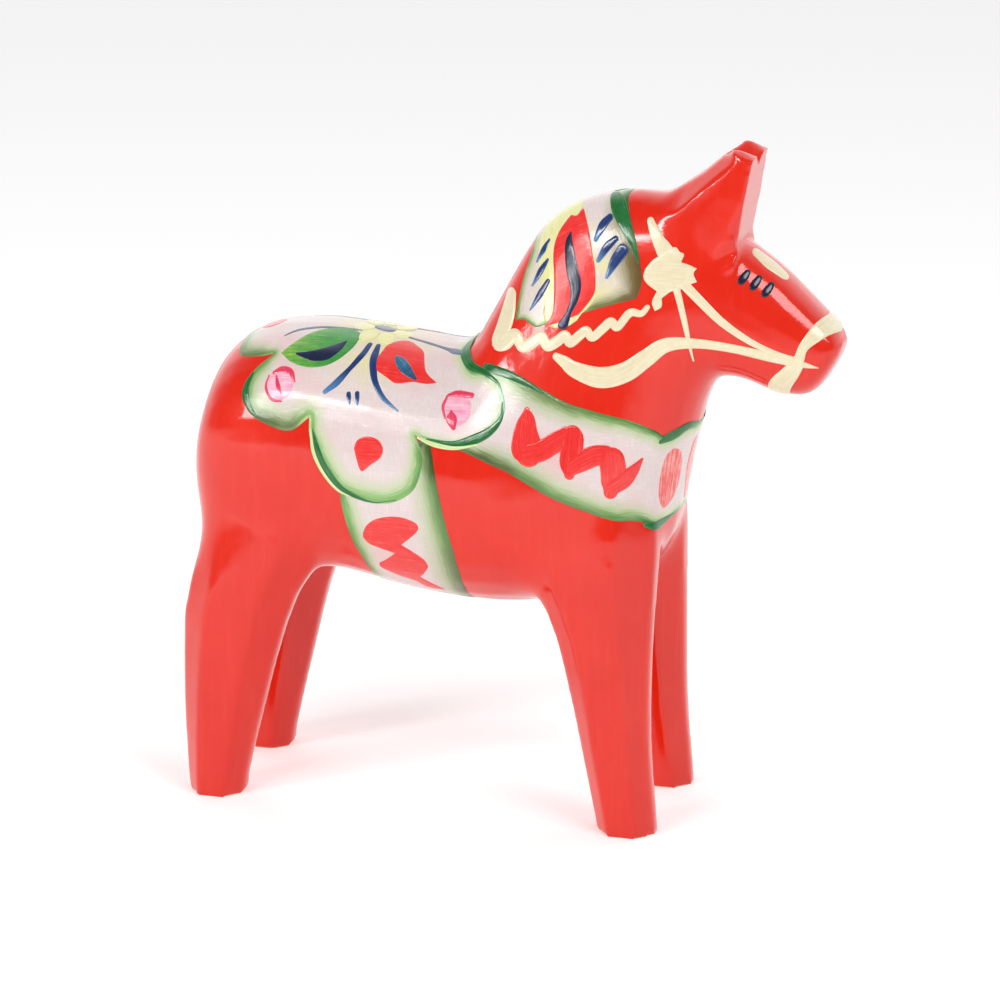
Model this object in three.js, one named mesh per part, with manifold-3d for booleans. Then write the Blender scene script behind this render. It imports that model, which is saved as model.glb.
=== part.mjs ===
// A painted wooden dala horse, 13 cm size, whittled from one block of pine.
// Millimetres. +X is forward (towards the nose), +Y is the horse's left, +Z is up, and the soles stand on Z = 0.
// While it is being shaped, X is measured from the back of the rump. The finished group is centred at the end.
import * as THREE from "three";
import { mergeVertices } from "three/addons/utils/BufferGeometryUtils.js";
import Module from "manifold-3d";

const wasm = await Module();
wasm.setup();

// Trunk, neck and head are one lofted form. Each rib runs from a point on the upper outline to one on the lower
// outline: top and bottom are [x, z], half is the half width, square is the superellipse power of the section,
// and taper narrows the section towards its top.
const RIBS = [
  { top: [0.9, 63], bottom: [0.8, 57], half: 3.5, square: 2.2, taper: 0 },
  { top: [1.3, 69], bottom: [1.1, 50], half: 8.5, square: 2.2, taper: 0 },
  { top: [2.9, 76], bottom: [2.2, 46], half: 12, square: 2.2, taper: 0 },
  { top: [5.7, 82.8], bottom: [5.4, 44.5], half: 14.8, square: 2.2, taper: 0 },
  { top: [9.8, 87], bottom: [10.4, 44], half: 16.9, square: 2.2, taper: 0 },
  { top: [16, 89.8], bottom: [17, 44], half: 18.5, square: 2.2, taper: 0 },
  { top: [24, 90.9], bottom: [25, 43.8], half: 19.5, square: 2.2, taper: 0 },
  { top: [32, 90.6], bottom: [33, 42.8], half: 19.9, square: 2.2, taper: 0 },
  { top: [40, 89.8], bottom: [42, 41], half: 19.9, square: 2.2, taper: 0 },
  { top: [47, 89.1], bottom: [52, 39.8], half: 19.8, square: 2.2, taper: 0.02 },
  { top: [52, 88.7], bottom: [62, 39.5], half: 19.6, square: 2.2, taper: 0.05 },
  { top: [55.2, 90], bottom: [73, 41], half: 19.2, square: 2.2, taper: 0.12 },
  { top: [57.6, 94], bottom: [84, 44.5], half: 18.4, square: 2.2, taper: 0.2 },
  { top: [60.2, 98.8], bottom: [91.6, 50.5], half: 17, square: 2.2, taper: 0.26 },
  { top: [63, 104], bottom: [94.7, 59], half: 15.4, square: 2.2, taper: 0.28 },
  { top: [66.2, 109.4], bottom: [96.2, 68], half: 13.8, square: 2.2, taper: 0.28 },
  { top: [70, 113.8], bottom: [98.2, 76], half: 12.4, square: 2.2, taper: 0.26 },
  { top: [75, 117], bottom: [99.9, 82.2], half: 11.4, square: 2.3, taper: 0.22 },
  { top: [81, 119], bottom: [102.2, 85.7], half: 10.8, square: 2.4, taper: 0.18 },
  { top: [88, 119.8], bottom: [105.5, 86.2], half: 10.3, square: 2.5, taper: 0.15 },
  { top: [95.5, 118.2], bottom: [108.7, 85.5], half: 9.9, square: 2.5, taper: 0.12 },
  { top: [102, 114.8], bottom: [112, 84.2], half: 9.4, square: 2.5, taper: 0.1 },
  { top: [107.8, 110.6], bottom: [114.8, 83.6], half: 8.8, square: 2.5, taper: 0.08 },
  { top: [113, 106.9], bottom: [117.4, 83.4], half: 8.1, square: 2.5, taper: 0.06 },
  { top: [117.5, 102.8], bottom: [119, 83.8], half: 7.5, square: 2.5, taper: 0.05 },
  { top: [121.4, 99], bottom: [120.8, 85.1], half: 6.9, square: 2.5, taper: 0.04 },
  { top: [124.2, 96], bottom: [122.8, 87.8], half: 5.8, square: 2.4, taper: 0 },
  { top: [125.2, 94], bottom: [124.6, 91.2], half: 3.4, square: 2.2, taper: 0 },
];
const RIB_STEPS = 52;
const TRUNK_AROUND = 28;

// A leg is a stack of level sections: back, front, inner and outer are the four sides of each at height z.
const FRONT_LEG = [
  { z: 0, back: 82.9, front: 94.1, inner: 9.4, outer: 19.3 },
  { z: 5, back: 81.9, front: 93.8, inner: 9.2, outer: 19.4 },
  { z: 14, back: 80, front: 92.9, inner: 8.9, outer: 19.5 },
  { z: 24, back: 77.9, front: 92.6, inner: 8.4, outer: 19.5 },
  { z: 33, back: 75.6, front: 92.6, inner: 7.6, outer: 19.4 },
  { z: 40, back: 73.3, front: 92.7, inner: 6.4, outer: 19.2 },
  { z: 47, back: 69, front: 92.8, inner: 4.5, outer: 19 },
  { z: 54, back: 67, front: 93, inner: 3, outer: 18.5 },
  { z: 62, back: 70, front: 92.6, inner: 2, outer: 17.2 },
  { z: 70, back: 74, front: 91, inner: 2, outer: 14 },
];
const HIND_LEG = [
  { z: 0, back: 1.7, front: 12.6, inner: 9.4, outer: 19.3 },
  { z: 5, back: 1.3, front: 13.4, inner: 9.2, outer: 19.4 },
  { z: 14, back: 0.9, front: 15.6, inner: 8.8, outer: 19.5 },
  { z: 24, back: 0.8, front: 18.1, inner: 8.2, outer: 19.5 },
  { z: 33, back: 0.8, front: 20.5, inner: 7.2, outer: 19.3 },
  { z: 40, back: 1.1, front: 23, inner: 6, outer: 19 },
  { z: 47, back: 1.8, front: 27, inner: 4.2, outer: 18.6 },
  { z: 54, back: 3, front: 28.6, inner: 3, outer: 17.7 },
  { z: 58, back: 4.6, front: 27.6, inner: 2.4, outer: 17 },
  { z: 62, back: 6.5, front: 26.5, inner: 2, outer: 16 },
  { z: 70, back: 11, front: 24, inner: 2, outer: 13 },
];
// Whittled flat on eight sides: each corner of the section is cut off, from [1, low] to [high, 1].
const LEG_CORNER = { low: 0.3, high: 0.46 };
const LEG_STEPS = 12;

// The ears are one raised wedge with a shallow V cut between them, square in front and rounded behind.
const EAR_LEVELS = [
  { z: 103, back: 92, front: 104, half: 8.6 },
  { z: 108, back: 88.4, front: 105.8, half: 8.6 },
  { z: 113, back: 85.5, front: 107, half: 8.2 },
  { z: 117.2, back: 87.6, front: 107.5, half: 7.8 },
  { z: 121.2, back: 94.2, front: 108, half: 7.4 },
  { z: 124.2, back: 98.4, front: 108.4, half: 7 },
  { z: 127.6, back: 102.3, front: 109.2, half: 6.6 },
  { z: 129.3, back: 104.2, front: 105.8, half: 6.3 },
];
const EAR_SECTION = [
  [1, -0.95], [1, 0.95], [0.94, 1], [0.1, 1], [-0.5, 0.88], [-0.86, 0.56], [-1, 0.2],
  [-1, -0.2], [-0.86, -0.56], [-0.5, -0.88], [0.1, -1], [0.94, -1],
];
const EAR_CUT = { bottom: 126, top: 132, halfAtTop: 8 };

// Paint lies over the wood in thin coats, with a gap under it so that no two solids touch.
const PAINT_GAP = 0.3;
const PAINT_COAT = 0.4;

// Painted fields, drawn in side view as [x, z]. Where an outline runs past the body, the field wraps over the back,
// the crest, the chest or the belly to the other side.
const BLANKET_FRONT = [[53, 96], [54.8, 88.6], [57.1, 87], [60.3, 86.3]];
// Each scallop of the blanket leaves one notch along two handles and ends at the next notch.
const BLANKET_SCALLOPS = [
  { handles: [[72.5, 82], [59, 67]], notch: [49, 74.3] },
  { handles: [[50, 57], [30, 57]], notch: [28, 76.2] },
  { handles: [[16.5, 68.5], [9.5, 80]], notch: [17.5, 86.3] },
  { handles: [[13, 83], [8.6, 84.6]], notch: [9, 88] },
];
const BLANKET_REAR = [9, 96];
const GIRTH = [
  [33.3, 62.4], [36.5, 60.4], [40.9, 59.6], [45.4, 60.5], [49.2, 63.5], [51.2, 68.3], [51.7, 72.4],
  [53.1, 65], [54.6, 58], [56, 50], [57.2, 38], [39.4, 38], [38, 44.4], [36.2, 51.5], [34.4, 59],
];
const COLLAR = [
  [65.6, 86.5], [66.6, 82], [65.9, 78], [63.4, 74.2], [61.2, 71.9], [65.9, 69.3], [70.4, 67], [75.5, 64.6],
  [80.5, 62.8], [87, 60.9], [93, 59.8], [100, 59.8], [102, 77], [96, 76.8], [89, 79], [81.4, 81.2], [73, 83.8],
];
const MANE = [
  [66.5, 124], [66.2, 108], [65.2, 101], [65.1, 96], [68.3, 95.6], [73, 96.8], [81.3, 99.7], [88.7, 102.1],
  [89.3, 105], [88.4, 109], [86.8, 114], [85, 118], [84.8, 124],
];

// Brush strokes, as [x, z, width] down the middle of the stroke.
const ZIGZAG = [
  [63, 99.4, 1.6], [62.9, 96, 2.6], [62.1, 92.3, 2.8], [63.8, 91.6, 1.8], [65.3, 93.2, 1.6], [67.1, 91.3, 1.6],
  [69.8, 93.3, 1.6], [72, 92, 1.6], [75.2, 94, 1.6], [77.2, 93.2, 1.5], [79.6, 95.6, 1.5], [81.4, 95, 1.5],
  [84, 97.4, 1.5], [85.8, 96.9, 1.4], [88.4, 99, 1.4],
];
const REIN = [
  [73.8, 90.5, 1.6], [77.7, 88.4, 2.8], [82.5, 87.3, 3.6], [87, 88.4, 3.8], [90.5, 91, 3.9], [94.5, 93.4, 3],
  [100, 94, 1.9], [107, 93.2, 1.6], [113.8, 91.9, 1.6],
];
const BROW_STRAP = [[90.2, 115.6, 1.4], [91.2, 112.4, 2.4], [92.6, 108.5, 3.4], [93.6, 105.5, 4]];
const THROAT_STRAP = [[94.9, 105, 1.6], [96.2, 101.5, 1.3], [97.1, 97.6, 1]];
const CHEEK_STRAP = [[95.6, 105.6, 2], [98.2, 103.6, 1.8], [101.6, 100.6, 1.6], [105, 97.6, 1.4], [107, 96.5, 1]];
const ROSETTE = { x: 94.4, z: 106.9, points: 6, tip: 4.9, dip: 3.3 };
const NOSEBAND = [
  [124.4, 102.4, 3], [122.4, 97.8, 3], [119.8, 95, 2.8], [118.4, 91.5, 2.8], [116.4, 87, 3], [114, 80.8, 3],
];
const EYE_MARK = [[0.45, 0.8, 1.5], [-0.45, -0.8, 1.9]];
const EYE_MARK_CENTRES = [[107.7, 106.4], [109.8, 105.2], [111.9, 104]];
// The blaze lies on top of the face and is drawn from above, as [x, y, width].
const BLAZE = [[110.4, -1, 5], [112.8, -1, 5]];
const BLAZE_SPAN = { top: 114, bottom: 98 };

const RED = 0xe23a28;
const BLUSH_WHITE = 0xe9dcd8;
const CREAM = 0xeee3bd;
const NAVY = 0x1d2747;

// How far outlines run out to each side of the body, and how far one-sided strokes stay off the midline.
const REACH = 30;
const MIDLINE = 1;
// Straight pieces to each stretch of an outline or stroke, and to each curve or quarter turn of a shape.
const OUTLINE_STEPS = 3;
const STROKE_STEPS = 2;
const CURVE_SEGMENTS = 8;
const ROUND_SEGMENTS = 1;

// Closed geometry through a row of rings, each with the same number of points, with a flat cap at both ends.
function loft(rings) {
  const around = rings[0].length;
  const positions = [];
  const index = [];
  for (const ring of rings) for (const p of ring) positions.push(p.x, p.y, p.z);
  for (let i = 0; i < rings.length - 1; i++) {
    for (let j = 0; j < around; j++) {
      const a = i * around + j;
      const b = i * around + ((j + 1) % around);
      index.push(a, b, b + around, a, b + around, a + around);
    }
  }
  const cap = (ring, first, flip) => {
    const centre = ring.reduce((sum, p) => sum.add(p), new THREE.Vector3()).divideScalar(around);
    const c = positions.length / 3;
    positions.push(centre.x, centre.y, centre.z);
    for (let j = 0; j < around; j++) {
      const a = first + j;
      const b = first + ((j + 1) % around);
      index.push(c, flip ? b : a, flip ? a : b);
    }
  };
  cap(rings[0], 0, true);
  cap(rings.at(-1), (rings.length - 1) * around, false);
  const geometry = new THREE.BufferGeometry();
  geometry.setAttribute("position", new THREE.Float32BufferAttribute(positions, 3));
  geometry.setIndex(index);
  return geometry;
}

function solid(geometry) {
  const bare = geometry.clone();
  bare.deleteAttribute("normal");
  bare.deleteAttribute("uv");
  const merged = mergeVertices(bare, 1e-4);
  const made = new wasm.Manifold(
    new wasm.Mesh({
      numProp: 3,
      vertProperties: merged.attributes.position.array,
      triVerts: new Uint32Array(merged.index.array),
    }),
  );
  return made;
}

const power = (value, exponent) => Math.sign(value) * Math.abs(value) ** exponent;

// Points round a superellipse: each is [along, across], from -1 to 1.
function superellipse(square, around) {
  return Array.from({ length: around }, (_, j) => {
    const angle = ((j + 0.5) / around) * 2 * Math.PI;
    return [power(Math.cos(angle), 2 / square), power(Math.sin(angle), 2 / square)];
  });
}

// A smooth curve through one triple of values for each rib or level.
const through = (rows, pick) =>
  new THREE.CatmullRomCurve3(rows.map((row) => new THREE.Vector3(...pick(row))), false, "centripetal");

function trunk(grow) {
  const top = through(RIBS, (r) => [r.top[0], 0, r.top[1]]);
  const bottom = through(RIBS, (r) => [r.bottom[0], 0, r.bottom[1]]);
  const section = through(RIBS, (r) => [r.half, r.square, r.taper]);
  const rings = [];
  for (let i = 0; i <= RIB_STEPS; i++) {
    const t = i / RIB_STEPS;
    const up = top.getPoint(t);
    const down = bottom.getPoint(t);
    const { x: half, y: square, z: taper } = section.getPoint(t);
    const centre = up.clone().add(down).divideScalar(2);
    const axis = up.clone().sub(down).divideScalar(2);
    const reach = axis.length() + grow;
    axis.normalize();
    rings.push(
      superellipse(square, TRUNK_AROUND).map(([along, across]) => {
        const p = centre.clone().addScaledVector(axis, along * reach);
        p.y = -across * (half * (1 - taper * along) + grow);
        return p;
      }),
    );
  }
  return solid(loft(rings));
}

function levelStack(levels, section, steps, sides, grow) {
  const ends = through(levels, (l) => [l.back, l.front, l.z]);
  const flanks = through(levels, (l) => [...sides(l), l.z]);
  const rings = [];
  for (let i = 0; i <= steps; i++) {
    const { x: back, y: front, z } = ends.getPoint(i / steps);
    const { x: right, y: left } = flanks.getPoint(i / steps);
    rings.push(
      section.map(
        ([along, across]) =>
          new THREE.Vector3(
            (front + back) / 2 + along * ((front - back) / 2 + grow),
            (left + right) / 2 + across * ((left - right) / 2 + grow),
            z,
          ),
      ),
    );
  }
  return solid(loft(rings));
}

function leg(levels, side, grow) {
  const sides = (l) => (side > 0 ? [l.inner, l.outer] : [-l.outer, -l.inner]);
  const { low, high } = LEG_CORNER;
  const octagon = [[1, -low], [1, low], [high, 1], [-high, 1], [-1, low], [-1, -low], [-high, -1], [high, -1]];
  return levelStack(levels, octagon, LEG_STEPS, sides, grow);
}

function ears(grow) {
  const block = levelStack(EAR_LEVELS, EAR_SECTION, EAR_LEVELS.length - 1, (l) => [-l.half, l.half], grow);
  const vee = new THREE.Shape([
    new THREE.Vector2(0, EAR_CUT.bottom + grow),
    new THREE.Vector2(EAR_CUT.halfAtTop - grow, EAR_CUT.top),
    new THREE.Vector2(grow - EAR_CUT.halfAtTop, EAR_CUT.top),
  ]);
  const wedge = new THREE.ExtrudeGeometry(vee, { depth: 40, bevelEnabled: false });
  wedge.rotateX(Math.PI / 2).rotateZ(Math.PI / 2).translate(80, 0, 0);
  return block.subtract(solid(wedge));
}

// The whole whittled form. With grow it stands that much proud all round, which is where a coat of paint lies.
function horse(grow = 0) {
  let body = trunk(grow).add(ears(grow));
  for (const levels of [FRONT_LEG, HIND_LEG]) {
    for (const side of [-1, 1]) body = body.add(leg(levels, side, grow));
  }
  return body;
}

function smoothOutline(points) {
  const curve = new THREE.CatmullRomCurve3(points.map(([x, z]) => new THREE.Vector3(x, z, 0)), true, "centripetal");
  return new THREE.Shape(curve.getPoints(points.length * OUTLINE_STEPS));
}

const polygon = (points) => new THREE.Shape(points.map(([x, z]) => new THREE.Vector2(x, z)));

function blanketOutline() {
  const shape = polygon(BLANKET_FRONT);
  for (const { handles, notch } of BLANKET_SCALLOPS) shape.bezierCurveTo(...handles[0], ...handles[1], ...notch);
  shape.lineTo(...BLANKET_REAR);
  return shape;
}

function starOutline({ x, z, points, tip, dip }) {
  const corners = Array.from({ length: points * 2 }, (_, i) => {
    const angle = (i / points) * Math.PI;
    const radius = i % 2 === 0 ? tip : dip;
    return [x + radius * Math.cos(angle), z + radius * Math.sin(angle)];
  });
  return polygon(corners);
}

// Runs a side-view shape through the body: side -1 cuts the right flank, 1 the left, and 0 both and all between.
function sideways(shape, side, curveSegments = CURVE_SEGMENTS) {
  const depth = side === 0 ? 2 * REACH : REACH - MIDLINE;
  const geometry = new THREE.ExtrudeGeometry(shape, { depth, bevelEnabled: false, curveSegments });
  geometry.rotateX(Math.PI / 2).translate(0, side < 0 ? -MIDLINE : REACH, 0);
  return solid(geometry);
}

// Runs a shape drawn from above through the top of the face, below the ears.
function downwards(shape) {
  const depth = BLAZE_SPAN.top - BLAZE_SPAN.bottom;
  const geometry = new THREE.ExtrudeGeometry(shape, { depth, bevelEnabled: false, curveSegments: ROUND_SEGMENTS });
  return solid(geometry.translate(0, 0, BLAZE_SPAN.bottom));
}

// A brush stroke is a row of dabs, each with two round ends, joined along a smooth middle line.
function dab(from, to) {
  const heading = Math.atan2(to.y - from.y, to.x - from.x);
  const shape = new THREE.Shape();
  shape.absarc(from.x, from.y, from.z / 2, heading + Math.PI / 2, heading + 1.5 * Math.PI, false);
  shape.absarc(to.x, to.y, to.z / 2, heading - Math.PI / 2, heading + Math.PI / 2, false);
  return shape;
}

function stroke(points, run) {
  const middle = new THREE.CatmullRomCurve3(points.map((p) => new THREE.Vector3(...p)), false, "centripetal");
  const stops = middle.getPoints((points.length - 1) * STROKE_STEPS);
  const dabs = stops.slice(1).map((stop, i) => run(dab(stops[i], stop)));
  return dabs.reduce((joined, next) => joined.add(next));
}

const inner = horse(PAINT_GAP);
const outer = horse(PAINT_GAP + PAINT_COAT);
const coat = (prism) => outer.intersect(prism).subtract(inner);

const group = new THREE.Group();

function addNode(name, made, colour, roughness) {
  const { vertProperties, triVerts } = made.getMesh();
  const geometry = new THREE.BufferGeometry();
  geometry.setAttribute("position", new THREE.BufferAttribute(vertProperties, 3));
  geometry.setIndex(new THREE.BufferAttribute(triVerts, 1));
  geometry.computeVertexNormals();
  const material = new THREE.MeshStandardMaterial({ color: colour, roughness, metalness: 0 });
  const mesh = new THREE.Mesh(geometry, material);
  mesh.name = name;
  group.add(mesh);
}

addNode("carved_body", horse(), RED, 0.2);

addNode("saddle_blanket", coat(sideways(blanketOutline(), 0)), BLUSH_WHITE, 0.25);
addNode("girth_band", coat(sideways(smoothOutline(GIRTH), 0)), BLUSH_WHITE, 0.25);
addNode("breast_collar", coat(sideways(smoothOutline(COLLAR), 0)), BLUSH_WHITE, 0.25);
addNode("mane_panel", coat(sideways(polygon(MANE), 0)), BLUSH_WHITE, 0.25);
addNode("noseband", coat(stroke(NOSEBAND, (shape) => sideways(shape, 0, ROUND_SEGMENTS))), CREAM, 0.3);
addNode("forehead_blaze", coat(stroke(BLAZE, downwards)), CREAM, 0.3);

for (const [hand, side] of [["right", -1], ["left", 1]]) {
  const onSide = (shape) => sideways(shape, side, ROUND_SEGMENTS);
  const headstall = [BROW_STRAP, THROAT_STRAP, CHEEK_STRAP]
    .map((strap) => stroke(strap, onSide))
    .reduce((joined, strap) => joined.add(strap), onSide(starOutline(ROSETTE)));
  addNode(`mane_zigzag_${hand}`, coat(stroke(ZIGZAG, onSide)), CREAM, 0.3);
  addNode(`rein_${hand}`, coat(stroke(REIN, onSide)), CREAM, 0.3);
  addNode(`headstall_${hand}`, coat(headstall), CREAM, 0.3);
  EYE_MARK_CENTRES.forEach(([x, z], i) => {
    const mark = EYE_MARK.map(([dx, dz, width]) => [x + dx, z + dz, width]);
    addNode(`eye_mark_${hand}_${i + 1}`, coat(stroke(mark, onSide)), NAVY, 0.3);
  });
}

const size = new THREE.Box3().setFromObject(group);
const centre = size.getCenter(new THREE.Vector3());
group.position.set(-centre.x, -centre.y, -size.min.z);

export default group;
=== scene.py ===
import math

import bpy
import numpy as np
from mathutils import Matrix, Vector
from mathutils.bvhtree import BVHTree
from mathutils.geometry import delaunay_2d_cdt


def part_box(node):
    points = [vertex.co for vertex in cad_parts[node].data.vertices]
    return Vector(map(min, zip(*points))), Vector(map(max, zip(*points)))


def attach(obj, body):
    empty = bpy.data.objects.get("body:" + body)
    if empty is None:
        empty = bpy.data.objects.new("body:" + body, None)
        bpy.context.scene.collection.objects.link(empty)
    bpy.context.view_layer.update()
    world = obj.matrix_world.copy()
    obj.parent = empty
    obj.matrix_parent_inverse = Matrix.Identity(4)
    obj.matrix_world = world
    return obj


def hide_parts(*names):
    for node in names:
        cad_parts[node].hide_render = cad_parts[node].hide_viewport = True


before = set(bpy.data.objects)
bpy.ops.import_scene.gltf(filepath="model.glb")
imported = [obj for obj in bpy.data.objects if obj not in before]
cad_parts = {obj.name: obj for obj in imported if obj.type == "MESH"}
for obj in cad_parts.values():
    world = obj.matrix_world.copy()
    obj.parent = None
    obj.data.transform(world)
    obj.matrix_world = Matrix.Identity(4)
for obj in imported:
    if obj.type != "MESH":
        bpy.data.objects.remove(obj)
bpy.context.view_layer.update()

# A painted wooden dala horse. Lengths in this script are millimetres until they reach a mesh. X is measured
# from the back of the rump, Y is the horse's left and Z is the height above the floor.
MM = 0.001
RUMP_GAP = 0.8
BODY_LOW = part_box("carved_body")[0]
ORIGIN_X = BODY_LOW.x / MM - RUMP_GAP
RIGHT = 1
LEFT = -1
SIDES = (("right", RIGHT), ("left", LEFT))


def place(x, y, z):
    return Vector(((ORIGIN_X + x) * MM, y * MM, z * MM))


def smoothstep(low, high, value):
    t = np.clip((value - low) / (high - low), 0, 1)
    return t * t * (3 - 2 * t)


# ---------------------------------------------------------------- materials


# How much brighter the studio is than plain daylight white. Paint colours are given as they look in it.
LIGHT_LEVEL = 1.18


def rgb(red, green, blue):
    """A paint colour given as it looks on a screen, from 0 to 255, in the linear values that shaders take."""
    linear = [((v / 255 + 0.055) / 1.055) ** 2.4 if v > 10 else v / 3300 for v in (red, green, blue)]
    return (*(v / LIGHT_LEVEL for v in linear), 1)


class Shader:
    """A Principled material and short names for the nodes that feed it."""

    def __init__(self, name):
        self.material = bpy.data.materials.new(name)
        self.material.use_nodes = True
        self.nodes = self.material.node_tree.nodes
        self.principled = self.nodes["Principled BSDF"]

    def link(self, source, target):
        self.material.node_tree.links.new(source, target)

    def put(self, value, socket):
        if isinstance(value, bpy.types.NodeSocket):
            self.link(value, socket)
        else:
            socket.default_value = value

    def attribute(self, name):
        node = self.nodes.new("ShaderNodeAttribute")
        node.attribute_name = name
        return node

    def position(self):
        return self.nodes.new("ShaderNodeTexCoord").outputs["Object"]

    def math(self, operation, first, second=0.0, clamp=False):
        node = self.nodes.new("ShaderNodeMath")
        node.operation = operation
        node.use_clamp = clamp
        self.put(first, node.inputs[0])
        self.put(second, node.inputs[1])
        return node.outputs[0]

    def stretch(self, vector, factors):
        node = self.nodes.new("ShaderNodeVectorMath")
        node.operation = "MULTIPLY"
        self.put(vector, node.inputs[0])
        node.inputs[1].default_value = factors
        return node.outputs[0]

    def combine(self, x, y, z=0.0):
        node = self.nodes.new("ShaderNodeCombineXYZ")
        for value, socket in zip((x, y, z), node.inputs):
            self.put(value, socket)
        return node.outputs[0]

    def away_from(self, vector, point):
        node = self.nodes.new("ShaderNodeVectorMath")
        node.operation = "DISTANCE"
        self.put(vector, node.inputs[0])
        node.inputs[1].default_value = point
        return node.outputs["Value"]

    def noise(self, vector, scale, detail=3.0, roughness=0.55):
        node = self.nodes.new("ShaderNodeTexNoise")
        self.put(vector, node.inputs["Vector"])
        node.inputs["Scale"].default_value = scale
        node.inputs["Detail"].default_value = detail
        node.inputs["Roughness"].default_value = roughness
        return node.outputs["Fac"]

    def ramp(self, factor, stops):
        node = self.nodes.new("ShaderNodeValToRGB")
        self.put(factor, node.inputs[0])
        elements = node.color_ramp.elements
        while len(elements) < len(stops):
            elements.new(1)
        for element, (at, colour) in zip(elements, stops):
            element.position = at
            element.color = colour
        return node.outputs[0]

    def mix(self, factor, first, second):
        node = self.nodes.new("ShaderNodeMix")
        node.data_type = "RGBA"
        self.put(factor, node.inputs[0])
        self.put(first, node.inputs[6])
        self.put(second, node.inputs[7])
        return node.outputs[2]

    def span(self, value, low, high):
        """The value brought to the range 0 to 1 between low and high."""
        node = self.nodes.new("ShaderNodeMapRange")
        self.put(value, node.inputs[0])
        node.inputs[1].default_value = low
        node.inputs[2].default_value = high
        return node.outputs[0]

    def bump(self, height, strength, distance):
        node = self.nodes.new("ShaderNodeBump")
        node.inputs["Strength"].default_value = strength
        node.inputs["Distance"].default_value = distance * MM
        self.link(height, node.inputs["Height"])
        return node.outputs[0]

    def finish(self, colour, roughness, normal, coat, coat_roughness):
        inputs = self.principled.inputs
        self.put(colour, inputs["Base Color"])
        self.put(roughness, inputs["Roughness"])
        self.link(normal, inputs["Normal"])
        self.link(normal, inputs["Coat Normal"])
        inputs["Specular IOR Level"].default_value = 0.1
        inputs["Coat Weight"].default_value = coat
        inputs["Coat Roughness"].default_value = coat_roughness
        return self.material


def lacquer_material():
    """Vermilion lacquer brushed over whittled pine, with bare wood where the soles were stood on."""
    shader = Shader("vermilion_lacquer")
    position = shader.position()
    cloud = shader.noise(position, 60, 4)
    brushed = shader.noise(shader.stretch(position, (700, 700, 60)), 1, 3)
    red = shader.ramp(cloud, [(0.3, rgb(224, 30, 5)), (0.7, rgb(235, 38, 10))])
    red = shader.mix(shader.span(brushed, 0.5, 2.2), red, rgb(246, 74, 56))
    grain = shader.noise(shader.stretch(position, (1400, 260, 1400)), 1, 4)
    pine = shader.ramp(grain, [(0.35, rgb(201, 160, 108)), (0.6, rgb(233, 204, 158))])
    bare = shader.attribute("bare").outputs["Fac"]
    colour = shader.mix(bare, red, pine)
    pores = shader.noise(position, 2600, 3)
    ripple = shader.noise(position, 150, 2)
    relief = shader.math("ADD", shader.math("MULTIPLY", brushed, 0.6), shader.math("MULTIPLY", pores, 0.35))
    relief = shader.math("ADD", relief, shader.math("MULTIPLY", ripple, 2.2))
    roughness = shader.math("ADD", shader.math("MULTIPLY", cloud, 0.12), 0.26)
    roughness = shader.math("ADD", roughness, shader.math("MULTIPLY", bare, 0.35))
    material = shader.finish(colour, roughness, shader.bump(relief, 0.3, 0.12), 0.9, 0.07)
    coat = shader.math("SUBTRACT", 0.9, shader.math("MULTIPLY", bare, 0.9))
    shader.link(coat, shader.principled.inputs["Coat Weight"])
    return material


BLUSH = rgb(230, 214, 212)
# Border greens: the colour at the border and the paler one further in.
LEAFY = (rgb(122, 184, 92), rgb(196, 214, 160))
OLIVE = (rgb(120, 134, 86), rgb(178, 190, 148))
BROWN = (rgb(118, 84, 44), rgb(140, 136, 86))
# The last word sets how strong a painted lime highlight on the raised border edge is.
BORDER_WORDS = ("reach", "dark", "olive", "mint", "lime_highlight")


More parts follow.
